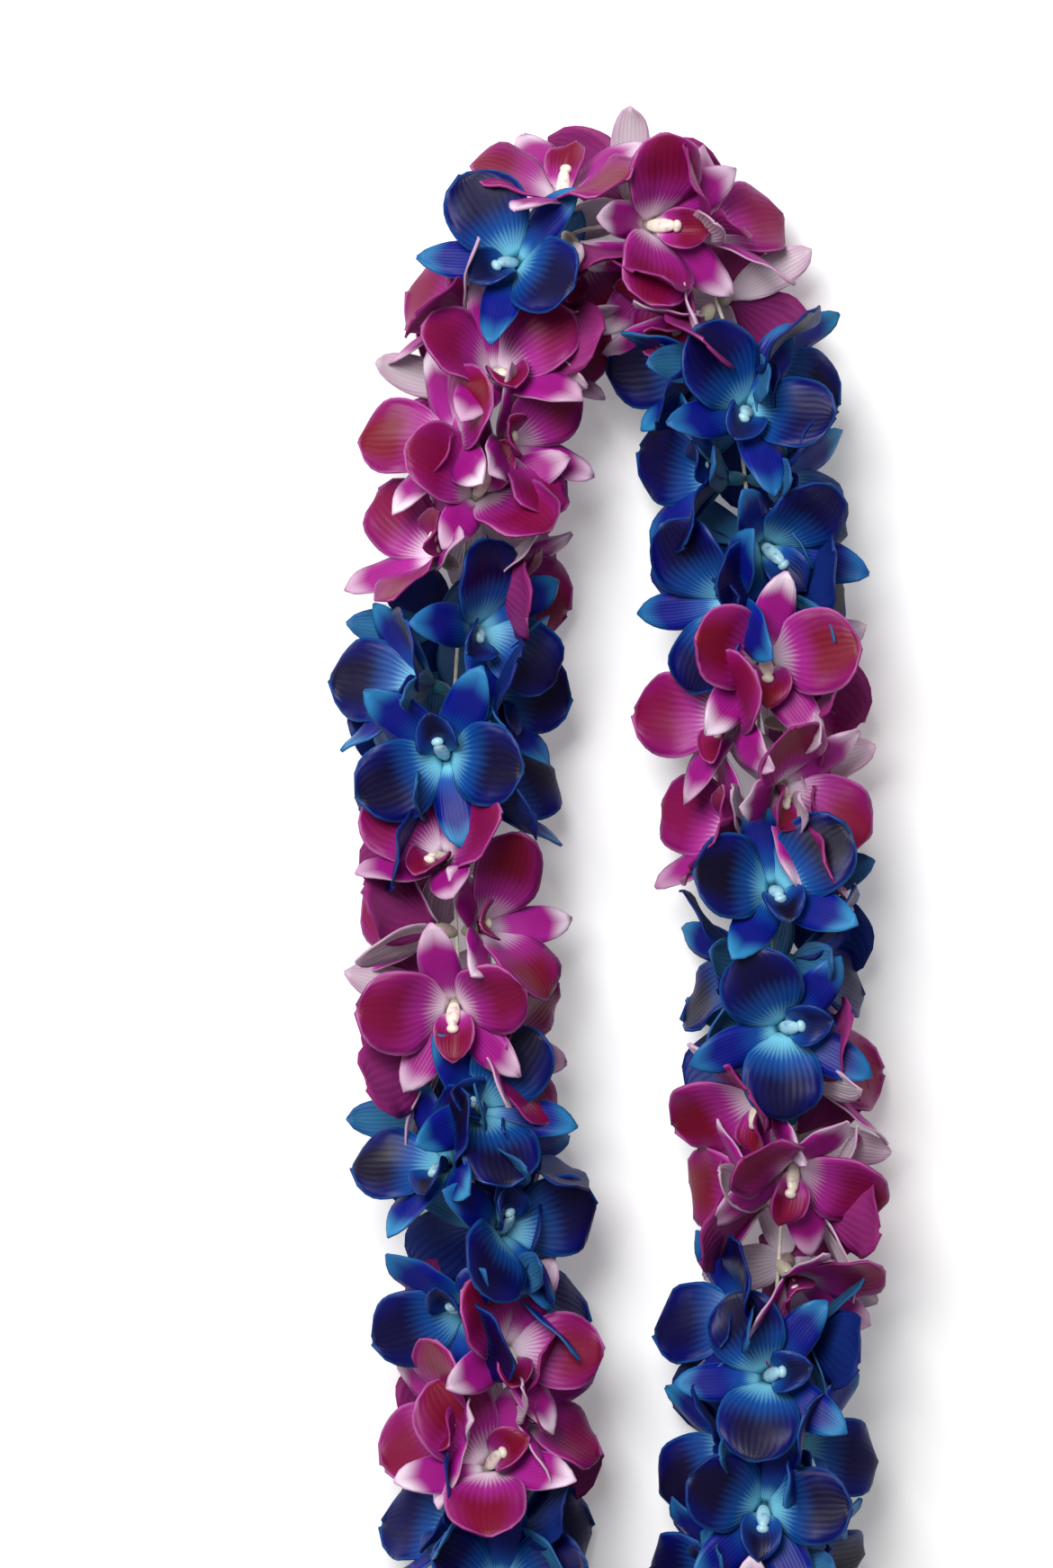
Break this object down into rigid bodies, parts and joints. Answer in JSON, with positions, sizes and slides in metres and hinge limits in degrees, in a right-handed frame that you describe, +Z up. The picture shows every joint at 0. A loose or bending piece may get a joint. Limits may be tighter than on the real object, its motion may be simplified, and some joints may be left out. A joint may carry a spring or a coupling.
{
  "type": "orchid flower lei",
  "caption": "Closed loop of fresh orchid blossoms strung back to back on a cord, in alternating magenta and blue bands, laid flat.",
  "frame": {"origin": "centre of the footprint, on the surface the lei lies on", "axes": "+Y along the loop's long way towards the bend that hangs at the neck, +Z up from the surface"},
  "size_m": [0.1584, 0.538, 0.0586],
  "materials": {
    "magenta_blossom": "fresh velvety petal, magenta with a white throat and pale edges",
    "blue_blossom": "fresh velvety petal, dyed deep blue with a cyan throat",
    "string": "matt twisted cotton string"
  },
  "bodies": {
    "root": {"blossom_pair_01_magenta": "magenta_blossom", "blossom_pair_02_magenta": "magenta_blossom", "blossom_pair_03_blue": "blue_blossom", "blossom_pair_04_blue": "blue_blossom", "blossom_pair_05_blue": "blue_blossom", "blossom_pair_06_blue": "blue_blossom", "blossom_pair_07_magenta": "magenta_blossom", "blossom_pair_08_magenta": "magenta_blossom", "blossom_pair_09_magenta": "magenta_blossom", "blossom_pair_10_blue": "blue_blossom", "blossom_pair_11_blue": "blue_blossom", "blossom_pair_12_blue": "blue_blossom", "blossom_pair_13_blue": "blue_blossom", "blossom_pair_14_magenta": "magenta_blossom", "blossom_pair_15_magenta": "magenta_blossom", "blossom_pair_16_magenta": "magenta_blossom", "blossom_pair_17_magenta": "magenta_blossom", "blossom_pair_18_blue": "blue_blossom", "blossom_pair_19_blue": "blue_blossom", "blossom_pair_20_blue": "blue_blossom", "blossom_pair_21_blue": "blue_blossom", "blossom_pair_22_magenta": "magenta_blossom", "blossom_pair_23_magenta": "magenta_blossom", "blossom_pair_24_magenta": "magenta_blossom", "blossom_pair_25_magenta": "magenta_blossom", "blossom_pair_26_magenta": "magenta_blossom", "blossom_pair_27_blue": "blue_blossom", "blossom_pair_28_magenta": "magenta_blossom", "blossom_pair_29_magenta": "magenta_blossom", "blossom_pair_30_magenta": "magenta_blossom", "blossom_pair_31_magenta": "magenta_blossom", "blossom_pair_32_blue": "blue_blossom", "blossom_pair_33_blue": "blue_blossom", "blossom_pair_34_blue": "blue_blossom", "blossom_pair_35_blue": "blue_blossom", "blossom_pair_36_blue": "blue_blossom", "blossom_pair_37_magenta": "magenta_blossom", "blossom_pair_38_magenta": "magenta_blossom", "blossom_pair_39_magenta": "magenta_blossom", "blossom_pair_40_magenta": "magenta_blossom", "blossom_pair_41_blue": "blue_blossom", "blossom_pair_42_blue": "blue_blossom", "blossom_pair_43_blue": "blue_blossom", "blossom_pair_44_magenta": "magenta_blossom", "blossom_pair_45_magenta": "magenta_blossom", "blossom_pair_46_magenta": "magenta_blossom", "blossom_pair_47_magenta": "magenta_blossom", "blossom_pair_48_blue": "blue_blossom", "blossom_pair_49_blue": "blue_blossom", "blossom_pair_50_blue": "blue_blossom", "blossom_pair_51_blue": "blue_blossom", "blossom_pair_52_blue": "blue_blossom", "blossom_pair_53_magenta": "magenta_blossom", "blossom_pair_54_magenta": "magenta_blossom", "blossom_pair_55_magenta": "magenta_blossom", "blossom_pair_56_magenta": "magenta_blossom", "string": "string"}
  },
  "joints": []
}
